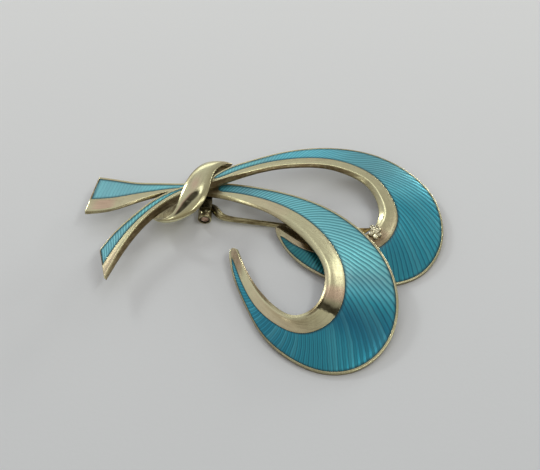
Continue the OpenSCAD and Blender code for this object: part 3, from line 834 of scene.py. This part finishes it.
# %% Other metals
def dull_metal(name, clean, dirt_and_shade, share, haze, pits=0.00003, stretch=None):
    """A metal of two tones, as after long use: clean on what is rubbed, dark in the hollows of a
    lumpy noise, and darker where the mesh's tarnish fact says, which marks oxide in hollows and, on
    the pin's knuckle, painted shade. share says how much is darkened, and pits is the depth of the
    lumps."""
    f = Finish(name)
    lumps = f.noise(1300, 5.0, 0.65, f.scaled(f.place, stretch) if stretch else None)
    darkened = f.remap(lumps, 0.62 - 0.4 * share, 0.75 - 0.4 * share)
    colour = f.mix(darkened, clean, dirt_and_shade)
    colour = f.mix(f.fact("tarnish"), colour, tuple(0.3 * c for c in dirt_and_shade))
    f.set(Base_Color=colour, Metallic=1.0, Normal=f.bump(lumps, pits, 0.6))
    f.set(Roughness=f.remap(darkened, 0.0, 1.0, haze, haze + 0.22))
    return f.material


hinge_metal = dull_metal("hinge_gilt", (0.60, 0.55, 0.33), (0.15, 0.115, 0.06), 0.42, 0.26)
copper = dull_metal("copper_rivet", (0.72, 0.50, 0.38), (0.30, 0.18, 0.11), 0.35, 0.34)
wire_metal = dull_metal("pin_wire", (0.50, 0.45, 0.26), (0.20, 0.16, 0.08), 0.42, 0.2,
                        pits=0.000008, stretch=(0.25, 1.0, 1.0))
catch_brass = dull_metal("catch_brass", (0.50, 0.36, 0.12), (0.18, 0.12, 0.05), 0.35, 0.34)
solder_metal = dull_metal("solder", (0.82, 0.77, 0.56), (0.04, 0.03, 0.018), 0.2, 0.24, 0.0001)
print("finishes:", len(bpy.data.materials))

# %% [markdown]
# ## Ribbons and enamel in place
# The metal is darkened at the knot, along the bevel and its foot, and where a loop passes under
# another. Some of the marks are dirt; those at the knot and where a loop passes under another are
# painted shade, and those on the bevels are painted dark reflection. Some coppery marks are painted
# warm reflection. The lists below say where, as rows along the ribbon and corners round the section.
# The corners are counted from 0 at the outer edge: 4 is the border, 8 the crest, 9 the bevel, 10 the
# foot and 11 the wall. Each mark holds its centre and half length in rows, its strength, and the
# first and last corner that it covers.

# %% Dirt, painted shade and coppery patches
# Lower ribbon: dirt, painted shade at the knot, and painted dark reflection on the bevels.
lower_dirt_and_shade = [
    (16.9, 2.6, 0.4, 0, 0), (18.6, 2.2, 0.6, 0, 1), (5.2, 0.6, 0.9, 0, 12), (2.0, 3.0, 0.6, 9, 11),
    (9.9, 1.0, 0.85, 11, 11), (20.3, 0.8, 0.55, 4, 7), (17.8, 1.1, 0.75, 9, 10),
    (13.4, 0.9, 0.85, 8, 10), (14.6, 0.8, 0.3, 4, 8),
]
# Lower ribbon: coppery gilding, and painted warm reflection on the border near rows 12 and 17.
lower_blush = [
    (0.7, 0.5, 1.0, 5, 7), (12.4, 0.4, 0.9, 4, 8), (18.5, 1.6, 0.5, 9, 11), (4.0, 0.5, 0.5, 5, 8),
    (20.3, 0.7, 0.8, 5, 7), (16.8, 2.0, 0.35, 4, 7),
]
# Upper ribbon: dirt, painted shade at the knot and where its tail passes under the lower ribbon, and
# painted dark reflection on the bevels.
upper_dirt_and_shade = [
    (15.2, 2.5, 0.35, 0, 0), (14.1, 0.35, 0.5, 9, 10), (5.0, 0.42, 0.85, 0, 12),
    (2.5, 3.2, 0.9, 9, 11), (3.9, 1.2, 0.9, 11, 12), (5.6, 0.7, 0.95, 8, 12),
    (8.4, 3.6, 1.0, 9, 11), (21.4, 2.0, 0.35, 0, 12), (21.0, 1.6, 1.0, 9, 11),
    (16.3, 0.9, 0.75, 4, 8),
]
upper_blush = [
    (0.4, 0.6, 0.5, 5, 7), (2.0, 2.0, 0.4, 9, 11), (16.0, 0.8, 0.8, 5, 8), (20.0, 1.2, 0.5, 4, 8),
]
print("marks of dirt:", len(lower_dirt_and_shade + upper_dirt_and_shade), "coppery:", len(lower_blush + upper_blush))

# %% [markdown]
# The glass changes along each ribbon, with its thickness and with the way that the field tilts toward
# the light: the colour column is partly real thickness and partly painted sheen and painted shade.
# Each row of these tables holds the row of the ribbon, the depth of the colour, the strength of the
# lines, the greenness, and the strength of the second lines halfway.

# %% Glass along each ribbon
# Depth of colour below 0 is painted sheen; above 0 it is deeper glass with painted shade.
lower_glass_and_shading = [
    (0, -1, 0.35, 0, 0), (2, -1, 0.5, 0, 0), (3.5, -1.7, 0.6, 0, 0), (4.8, -0.9, 0.8, 0, 0),
    (5.6, 0.3, 1.2, 0, 0), (6.2, -0.5, 1.8, 0, 0), (7, -1.4, 2.6, 0, 0), (8.5, -1.5, 2.7, 0, 0),
    (9.5, -1.4, 2.1, 0, 0), (10.2, -1.3, 1.6, 0, 0), (11, -2, 1.7, 0, 0), (11.6, -1.2, 2.0, 0, 0),
    (12.2, 0.3, 2.2, 0, 0), (13, 1.0, 0.9, 0, 0.1), (13.7, 1.0, 0.4, 0, 0.2),
    (14.5, 0.64, 0.8, 0, 0.4), (16.5, 0.6, 1.1, 0, 0.45), (17.5, 0.8, 0.7, 0, 0.55),
    (18.6, 0.66, 0.8, 0, 0.5), (19.6, 0.4, 1.6, 0, 0.2), (20.6, 0.1, 1.6, 0, 0),
]
upper_glass_and_shading = [
    (0, -0.9, 1.1, 0, 0), (1.5, -1, 0.8, 0, 0), (2.4, -2.0, 0.6, 0, 0), (3.5, -2.0, 0.55, 0, 0),
    (4.7, -1.0, 0.7, 0, 0), (6.2, -1.4, 0.6, 0, 0), (7, -1.9, 0.7, 0, 0), (8, 0.0, 0.9, 0, 0),
    (9.5, -0.1, 1.2, 0, 0), (10.5, -0.5, 2.3, 0, 0), (11.5, -0.9, 3.2, 0, 0),
    (12.5, -0.2, 2.6, 0, 0), (13.3, 0.52, 1.6, 0, 0), (14.5, 0.45, 1.1, 0, 0.1),
    (16, 0.74, 1.0, 0.1, 0.1), (19, 0.5, 1.8, 0.7, 0), (20.5, 0.4, 3.2, 1, 0),
    (21.5, 0.45, 3.0, 1, 0),
]
LOWER_FRONT, NO_FRONT = 13.45, 40
ribbons = (
    ("lower", lower, lower_lines, lower_dirt_and_shade, lower_blush, LOWER_FRONT, lower_glass_and_shading),
    ("upper", upper, upper_lines, upper_dirt_and_shade, upper_blush, NO_FRONT, upper_glass_and_shading),
)
for label, blade, lines, dirt_and_shade, blush, front, glass_and_shading in ribbons:
    metal = [ribbon_shell(blade, dirt_and_shade, blush, front)]
    glass = [enamel_shell(blade, lines, field, glass_and_shading) for field in blade["fields"]]
    make_piece(label + "_blade", metal, ribbon_gilt, "brooch", [label + "_ribbon"])
    make_piece(label + "_glass", glass, turquoise, "brooch", [label + "_enamel"])

# %% [markdown]
# ## The lump of solder
# Where the two ribbons cross, a lump of solder holds them. Eight overlapping balls give its shape.
# Seen from a point inside them, each direction leaves the balls once, so the surface is a distance
# for each direction: the farthest exit from any ball, blended softly where two of them meet.

# %% Solder
solder_rows = np.array([
    [18.55, 3.85, 2.35, 0.60], [17.75, 3.55, 2.30, 0.52], [18.45, 2.95, 2.25, 0.50],
    [18.10, 4.35, 2.40, 0.50], [19.05, 4.30, 2.50, 0.46], [17.95, 5.05, 2.45, 0.38],
    [18.75, 4.95, 2.55, 0.40], [19.15, 3.35, 2.30, 0.42],
])
SOFTNESS = 14


def solder_shell(rings=90, points=150):
    """Distance to the far side of each ball along each direction, joined by a soft maximum, with
    small dents from a product of sines."""
    centre = solder_rows[:, :3].mean(0)
    polar = np.linspace(0.01, np.pi - 0.01, rings)[:, None]
    turn = np.linspace(0, 2 * np.pi, points, endpoint=False)[None]
    level = np.sin(polar)
    d = np.stack([level * np.cos(turn), level * np.sin(turn), np.cos(polar) + 0 * turn], -1)
    offset = solder_rows[:, :3] - centre
    along = d @ offset.T
    inside = along**2 - (offset**2).sum(1) + solder_rows[:, 3] ** 2
    reach = np.where(inside > 0, along + np.sqrt(np.maximum(inside, 0)), 0.0)
    r = np.log(np.exp(SOFTNESS * reach).sum(-1)) / SOFTNESS
    dents = np.abs(np.sin(11 * d[..., 0] + 1) * np.sin(13 * d[..., 1]) * np.sin(9 * d[..., 2] + 2))
    r = np.minimum(r, reach.max(-1) + 0.05) - 0.08 * dents
    return skin(centre + r[..., None] * d, tarnish=np.clip((dents - 0.5) / 0.15, 0, 1))


make_piece("solder_bead", [solder_shell()], solder_metal, "brooch", ["upper_ribbon"])

# %% [markdown]
# ## The knot band
# A domed strip is wrapped once round both ribbons. Its two edges wander sideways as it goes round:
# that is what makes it look like a tied ribbon. The table gives the left and the right edge for
# every 30 degrees round an upright ellipse, starting at the back. The outline is the strip's cross
# section: place across it, and height over the ellipse.

# %% Path and section of the band
band_rows = np.array([
    [-9.6, -5.5], [-10.7, -7.0], [-12.2, -8.6], [-13.5, -9.2], [-14.3, -9.9], [-15.1, -11.6],
    [-17.0, -14.0], [-18.7, -15.2], [-18.6, -14.3], [-17.0, -12.7], [-14.0, -10.6], [-11.2, -7.3],
])
BAND_CY, BAND_CZ, BAND_RY, BAND_RZ = 11.55, 3.95, 6.5, 2.35
band_outline = np.array([
    [0.00, -0.43], [0.05, -0.29], [0.15, -0.14], [0.30, -0.02], [0.50, 0.03], [0.69, -0.02],
    [0.82, -0.12], [0.92, -0.28], [1.00, -0.43], [0.97, -0.53], [0.75, -0.60], [0.25, -0.60],
    [0.03, -0.53],
])


def around(rows, t):
    """A closed cubic B-spline: the table's rows, sharpened, repeat after the last one."""
    n = len(rows)
    c = rows - (np.roll(rows, 1, 0) - 2 * rows + np.roll(rows, -1, 0)) / 6
    k = np.floor(t).astype(int)
    u = (t - k)[:, None]
    return sum(w * c[(k + i - 1) % n] for i, w in enumerate(weights(u))) / 6


print("the band is", np.round(np.ptp(band_rows, 1).min(), 1), "mm wide at its narrowest")

# %% [markdown]
# As the band comes over the top it folds: a groove runs from its right half to its left side. A
# painted dark reflection fills the groove, and beside it a painted warm reflection makes the metal
# look coppery.
# The groove is a bell across the band whose middle and width change with the angle.

# %% Fold in the band
FOLD_DEPTH = 0.05


def fold(degrees, q, height):
    """The fold in the band, 0 to 1: a flat-topped bell across the band whose middle runs from one
    side to the other as the band comes over the top and down the front. The second result is a
    painted warm reflection along its outer side."""
    middle = np.interp(degrees, [96, 104, 116, 128, 144, 158], [0.66, 0.61, 0.50, 0.36, 0.25, 0.18])
    half = np.interp(degrees, [96, 106, 114, 128, 144, 158], [0.06, 0.11, 0.15, 0.15, 0.10, 0.05])
    rising = np.clip((degrees - 98) / 14, 0, 1) ** 1.5
    there = rising * np.clip((160 - degrees) / 12, 0, 1) * (height > -0.3)
    off = (q - middle) / half
    return there * np.exp(-(np.abs(off) ** 3)), there * np.exp(-(((off + 1.05) / 0.45) ** 2))


full = fold(120.0, 0.46, 0.0)[0]
print("the fold is", FOLD_DEPTH, "mm deep, and in its middle its share is", full.round(2))

# %% [markdown]
# The inside of the band is dull. Painted shade darkens its edges, soft patches of painted shade lie
# on its right side and at its back, and a painted warm reflection lies across its middle near the
# top. They are bells and ramps over the angle and the place across.

# %% Knot band
def knot_shell(rings=360, points=84):
    """Station a round the ellipse, place q across the band: x runs between the two edges, and the
    height of the section, less the fold, is added to both half axes of the ellipse."""
    turn = np.arange(rings)[:, None] / rings
    a = 2 * np.pi * turn
    degrees = 360 * turn
    edges = around(band_rows, turn[:, 0] * len(band_rows))
    section = around(band_outline, np.arange(points) / points * len(band_outline))
    q, height = section.T[:, None]
    width = edges[:, 1:] - edges[:, :1]
    crease, warm_reflection_side = fold(degrees, q, height)
    raised = np.minimum(height, 0.03) - FOLD_DEPTH * crease
    x = edges[:, :1] + q * width
    y = BAND_CY + (BAND_RY + raised) * np.cos(a)
    z = BAND_CZ + (BAND_RZ + raised) * np.sin(a)
    inner = np.clip((-height - 0.4) / 0.15, 0, 1) * 0.75
    # Painted warm reflection across the middle, near the top of the band.
    warm_reflection = 0.8 * np.exp(-(((degrees - 92) / 14) ** 2) - ((q - 0.42) / 0.17) ** 2)
    # Painted shade on the right side, beside the fold.
    shadow = 0.35 * np.exp(-(((degrees - 126) / 20) ** 2) - ((q - 0.84) / 0.08) ** 2)
    # Painted shade at the back, on the left side.
    above = 0.55 * np.clip((98 - degrees) / 14, 0, 1) * np.clip((0.3 - q) / 0.2, 0, 1)
    # Dull inside, and painted shade along both edges.
    dull_and_shaded = np.maximum(inner, shadow + above + 0.3 * np.abs(2 * q - 1) ** 7)
    return skin(
        np.stack([x, y, z], -1), closed=True,
        uv=np.stack([12 * turn + 0 * y, q * np.abs(width)], -1),
        tarnish=dull_and_shaded, blush=np.maximum(warm_reflection, warm_reflection_side),
        # The fold's groove holds a painted dark reflection.
        stain=np.minimum(1.7 * crease, 1.0), front=1.9,
    )


make_piece("knot_tie", [knot_shell()], knot_gilt, "brooch", ["knot_band"])

# %% [markdown]
# ## The hinge
# A short tube is soldered under the ribbons, with a gap in its middle for the pin's own knuckle. A
# rivet of redder metal runs through all three and is hammered over at the ends. Turned parts are
# profiles in radius and length, carried round the axis.

# %% Turned parts
HINGE_X, HINGE_Z = -10.2, 1.15


def turned(profile, points=64):
    """A closed profile of (radius, y) pairs, rounded at its corners, turned about the hinge's axis.
    The third number of each is how far its corner is cut back. The tarnish grows toward the bore."""
    corners = np.array([[(r, y, 0.0) for r, y, _ in profile]])
    radius, y, _ = rounded(corners, [t for _, _, t in profile], 6)[0].T[:, None]
    turn = np.linspace(0, 2 * np.pi, points, endpoint=False)[:, None]
    x = HINGE_X + radius * np.cos(turn)
    z = HINGE_Z + radius * np.sin(turn)
    dark = np.clip((1.0 - radius) / 0.12, 0, 1)
    return skin(np.stack([x, y + 0 * x, z], -1), closed=True, tarnish=dark)


def tube(radius, bore, y0, y1, edge=0.12):
    """A tube about the hinge's axis: its profile is a rectangle between the bore and the outside."""
    return turned([(bore, y0, 0.04), (radius, y0, edge), (radius, y1, edge), (bore, y1, 0.04)])


print("a tube has", len(tube(1.0, 0.5, 0.0, 1.0)["points"]), "points")

# %% [markdown]
# Plates are cut from sheet and filed round. A plate is an outline at several heights, drawn in near
# its two faces along a quarter circle.

# %% Plates
def slab(outline, low, high, edge, corner=0.15, order=(0, 1, 2), dirt=0.0):
    """A plate: an outline with rounded corners, drawn in near its two faces along a quarter circle.
    order says which axis each of outline a, outline b and thickness runs along."""
    corners = np.array([[(a, b, 0.0) for a, b in outline]])
    loop = rounded(corners, [corner] * len(outline), 5)
    bend = np.linspace(0, np.pi / 2, 6)
    curve = edge * (1 - np.cos(bend))
    drawn = edge * np.concatenate([1 - np.sin(bend), 1 - np.sin(bend[::-1])])
    heights = np.concatenate([low + curve, high - curve[::-1]])
    rings = inset(np.repeat(loop, len(heights), 0), drawn[:, None, None])
    rings[..., 2] = heights[:, None]
    return skin(rings[..., np.argsort(order)], tarnish=dirt)


def oblong(a0, a1, b0, b1):
    """The outline of a rectangle."""
    return [(a0, b0), (a1, b0), (a1, b1), (a0, b1)]


print("a plate of four corners has", len(slab(oblong(0, 1, 0, 1), 0, 1, 0.1)["points"]), "points")

# %% [markdown]
# The fixed part of the hinge is two knuckles, the plate that they hang from, and a web between each
# knuckle and the plate. The pin's own knuckle turns in the gap between them.

# %% Hinge
KNUCKLE_R, KNUCKLE_BORE, FRONT_LEN = 1.15, 0.77, 1.65
FRONT_Y, MIDDLE_Y, BACK_Y, END_Y = 7.55, 9.25, 11.05, 12.6
PLATE_LOW, PLATE_HIGH = 2.35, 2.72
web = oblong(-11.1, -9.3, 1.9, 2.42)
hinge_shells = [
    tube(KNUCKLE_R, KNUCKLE_BORE, FRONT_Y, FRONT_Y + FRONT_LEN),
    tube(KNUCKLE_R, KNUCKLE_BORE, BACK_Y, END_Y),
    slab(oblong(-11.3, -8.95, 9.0, END_Y), PLATE_LOW, PLATE_HIGH, 0.1, 0.3, dirt=0.9),
    slab(web, 8.95, 9.2, 0.05, 0.05, (0, 2, 1), 0.9),
    slab(web, BACK_Y, END_Y, 0.05, 0.05, (0, 2, 1), 0.9),
]
make_piece("hinge_tube", hinge_shells, hinge_metal, "brooch", ["hinge"])

# %% [markdown]
# The rivet is a bar through the three knuckles. A hammer spreads its two ends into low domes.

# %% Rivet
RIVET_R, DOME = 0.75, 0.14


def rivet_shell(points=48):
    """A bar whose two ends are low domes, tarnished toward their edges."""
    y0, y1 = FRONT_Y + 0.05, END_Y - 0.05
    t = np.linspace(0, np.pi / 2, 10)
    swell, rise = RIVET_R * np.sin(np.maximum(t, 0.02)), DOME * (1 - np.cos(t))
    radius = np.concatenate([swell, swell[::-1]])[:, None]
    y = np.concatenate([y0 + rise, y1 - rise[::-1]])[:, None]
    turn = np.linspace(0, 2 * np.pi, points, endpoint=False)[None]
    x = HINGE_X + radius * np.cos(turn)
    z = HINGE_Z + radius * np.sin(turn)
    return skin(np.stack([x, y + 0 * x, z], -1), tarnish=np.clip((radius - 0.56) / 0.12, 0, 1))


make_piece("rivet", [rivet_shell()], copper, "brooch", ["hinge_rivet"])

# %% [markdown]
# ## The pin
# A stiff wire leaves its knuckle, bends twice and runs straight to a tapered point. The bends come
# from a table of its centre line, with the radius in the last column. A circle is carried along the
# line, square to it.

# %% Pin
root_rows = [
    [-9.28, 10.28, 1.12, 0.62], [-8.75, 10.08, 1.10, 0.68], [-8.25, 9.42, 1.08, 0.70],
    [-7.65, 8.68, 1.02, 0.65], [-6.80, 8.20, 0.95, 0.56], [-5.50, 7.87, 0.90, 0.49],
    [-3.50, 7.54, 0.90, 0.47],
]
pin_end = np.array([17.3, 4.13, 0.90])
WIRE_R, TIP_R, POINT_LEN = 0.47, 0.08, 3.2
PIN_KNUCKLE_R, PIN_BORE, MIDDLE_LEN = 1.12, 0.80, 1.75


def centre_line():
    """Points along the wire and the radius at each: the splined bend, then a straight stem whose
    radius falls over the last stretch, then a small dome."""
    root = rows_at(sharpened(root_rows), np.linspace(0, 6, 90))
    bend = root[:, :3]
    full = np.linalg.norm(pin_end - bend[-1])
    stem = (pin_end - bend[-1]) / full
    tip = np.linspace(0.2, 1.5, 6)
    run = np.concatenate([
        np.linspace(0.5, full - POINT_LEN, 24), np.linspace(full - 3.0, full - TIP_R, 16),
        full - TIP_R + TIP_R * np.sin(tip),
    ])
    taper = np.clip((full - run) / POINT_LEN, 0, 1) ** 0.9
    radius = np.concatenate([root[:, 3], TIP_R + (WIRE_R - TIP_R) * taper])
    radius[-len(tip):] = TIP_R * np.cos(tip)
    return np.vstack([bend, bend[-1] + run[:, None] * stem]), radius


def wire_shell(points=28):
    """Circles square to the centre line: one axis level, the other upright. It is darkened in the
    knuckle as painted shade under the knot, and tarnished at the point."""
    line, radius = centre_line()
    d = np.gradient(line, axis=0)
    d /= np.linalg.norm(d, axis=1, keepdims=True)
    side = np.cross([0, 0, 1.0], d)
    side /= np.linalg.norm(side, axis=1, keepdims=True)
    up = np.cross(d, side)
    turn = np.linspace(0, 2 * np.pi, points, endpoint=False)[None, :, None]
    circle = np.cos(turn) * side[:, None] + np.sin(turn) * up[:, None]
    # Painted shade where the knuckle lies under the knot.
    at_knuckle = 0.85 * np.clip((line[:, 1] - 8.6) / 0.8, 0, 1)
    at_point = 0.8 * np.clip(line[:, 0] - 14.5, 0, 1)
    shade_and_tarnish = np.maximum(at_knuckle, at_point)[:, None]
    return skin(line[:, None] + radius[:, None, None] * circle, tarnish=shade_and_tarnish)


pin_knuckle = tube(PIN_KNUCKLE_R, PIN_BORE, MIDDLE_Y, MIDDLE_Y + MIDDLE_LEN)
make_piece("pin", [pin_knuckle, wire_shell()], wire_metal, "pin", ["pin_stem"])

# %% [markdown]
# ## The catch
# The pin's point rests in a plain fork under the ribbons, open downward, so that the stiff pin can
# swing out of it. It is a small plate with two prongs, one on each side of the place where the pin
# passes.

# %% Catch
catch_outline = [
    (14.1, 5.55), (15.5, 5.55), (15.8, 5.2), (17.95, 5.2), (17.05, 4.4), (15.0, 3.1), (14.1, 3.1),
]
PLATE_Z, CATCH_T, CATCH_ROOM = 1.59, 0.4, 0.12
PRONG_X, PRONG_LEN, PRONG_Z = 14.2, 1.2, 0.4
slope = (pin_end[1] - root_rows[-1][1]) / (pin_end[0] - root_rows[-1][0])
pin_y = pin_end[1] + slope * (PRONG_X + PRONG_LEN / 2 - pin_end[0])
prong_off = WIRE_R + CATCH_ROOM + abs(slope) * PRONG_LEN / 2
catch_shells = [slab(catch_outline, PLATE_Z, PLATE_Z + CATCH_T, 0.08, 0.12)]
for near in (pin_y - prong_off - CATCH_T, pin_y + prong_off):
    prong = oblong(PRONG_X, PRONG_X + PRONG_LEN, near, near + CATCH_T)
    catch_shells.append(slab(prong, PRONG_Z, PLATE_Z + 0.1, 0.07, 0.1))
make_piece("catch_fork", catch_shells, catch_brass, "brooch", ["catch"])

# %% [markdown]
# ## The table
# The brooch lies on a plain pale surface, a hair's breadth below it, so that the two never share a
# face. The paper's colour is darker toward the viewer, as painted shade where the light falls off,
# and it has a faint grain.

# %% Floor
floor_mesh = bpy.data.meshes.new("floor")
floor_mesh.from_pydata([(-2, -2, 0), (2, -2, 0), (2, 2, 0), (-2, 2, 0)], [], [(0, 1, 2, 3)])
floor = bpy.data.objects.new("floor", floor_mesh)
floor.location.z = -0.00002
bpy.context.scene.collection.objects.link(floor)
f = Finish("floor_paper")
away = f.node("ShaderNodeSeparateXYZ", None, Vector=f.place).outputs[1]
# Painted shade: the paper's colour darkens toward the viewer.
paper = f.mix(f.remap(away, -0.07, 0.08), (0.745, 0.772, 0.825), (0.905, 0.925, 0.97))
f.set(Base_Color=paper, Roughness=0.85, Specular_IOR_Level=0.2)
f.set(Normal=f.bump(f.noise(1500, 3.0), 0.00004, 0.3))
floor_mesh.materials.append(f.material)
print("the table is", floor_mesh.vertices[1].co.x - floor_mesh.vertices[0].co.x, "m wide")

# %% [markdown]
# ## The light
# Polished metal shows its surroundings more than its own colour, so the surroundings are built
# first: a sky that is dim and warm near the viewer and brighter and cooler overhead, behind the
# brooch and to its left. A ramp on the angle to one direction does that.

# %% Sky
BRIGHT_SIDE = (-0.38, 0.66, 0.65)
sky_stops = [(0.0, 0.23), (0.3, 0.37), (0.62, 0.385), (0.87, 0.53), (1.0, 0.59)]
world = bpy.data.worlds.new("studio")
world.use_nodes = True
tree = world.node_tree
dot = tree.nodes.new("ShaderNodeVectorMath")
dot.operation = "DOT_PRODUCT"
tree.links.new(tree.nodes.new("ShaderNodeTexCoord").outputs["Generated"], dot.inputs[0])
dot.inputs[1].default_value = BRIGHT_SIDE
ramp = tree.nodes.new("ShaderNodeValToRGB")
tree.links.new(dot.outputs["Value"], ramp.inputs[0])
for i, (at, value) in enumerate(sky_stops):
    stop = ramp.color_ramp.elements[i] if i < 2 else ramp.color_ramp.elements.new(at)
    stop.position = at
    stop.color = (value * (1.12 - 0.13 * at), value, value * (0.80 + 0.23 * at), 1.0)
tree.links.new(ramp.outputs[0], tree.nodes["Background"].inputs["Color"])
bpy.context.scene.world = world
print("sky, from dim to bright:", [value for _, value in sky_stops])

# %% [markdown]
# Seven soft lamps stand round the brooch and face it. A flat patch of metal mirrors just one
# direction, so each lamp stands where a bright streak on the knot, the crest or the bevel looks. The
# broad window low behind the brooch also makes the soft shadows toward the viewer. The lamps are
# far off and large, so that each streak has soft ends. Place and size are in metres.

# %% Lamps
def lamp(name, place, size, power, colour=(0.97, 1.0, 0.94)):
    """A rectangular lamp that faces the brooch: a lamp that isn't turned shines straight down, so it
    is tipped by its angle from the upright and then turned about the upright."""
    data = bpy.data.lights.new(name, "AREA")
    data.shape = "RECTANGLE"
    data.size, data.size_y = size
    data.energy = power
    data.color = colour
    holder = bpy.data.objects.new(name, data)
    holder.location = place
    d = -np.array(place)
    tip, turn = math.acos(-d[2] / np.linalg.norm(d)), math.atan2(d[0], -d[1]) + math.pi
    holder.rotation_euler = (tip, 0, turn)
    bpy.context.scene.collection.objects.link(holder)


lamp("window", (-0.25, 0.70, 0.19), (0.75, 0.23), 0.56)
lamp("left_lamp", (-0.42, 0.46, 0.32), (0.10, 0.10), 0.75)
lamp("right_lamp", (0.45, 0.60, 0.12), (0.24, 0.10), 1.3)
lamp("edge_lamp", (0.49, 0.426, 0.262), (0.09, 0.07), 0.18)
lamp("high_lamp", (0.10, 0.315, 0.62), (0.14, 0.14), 0.10)
lamp("right_side", (0.315, -0.127, 0.612), (0.46, 0.10), 0.62)
lamp("left_side", (-0.38, -0.31, 0.49), (0.15, 0.15), 0.14)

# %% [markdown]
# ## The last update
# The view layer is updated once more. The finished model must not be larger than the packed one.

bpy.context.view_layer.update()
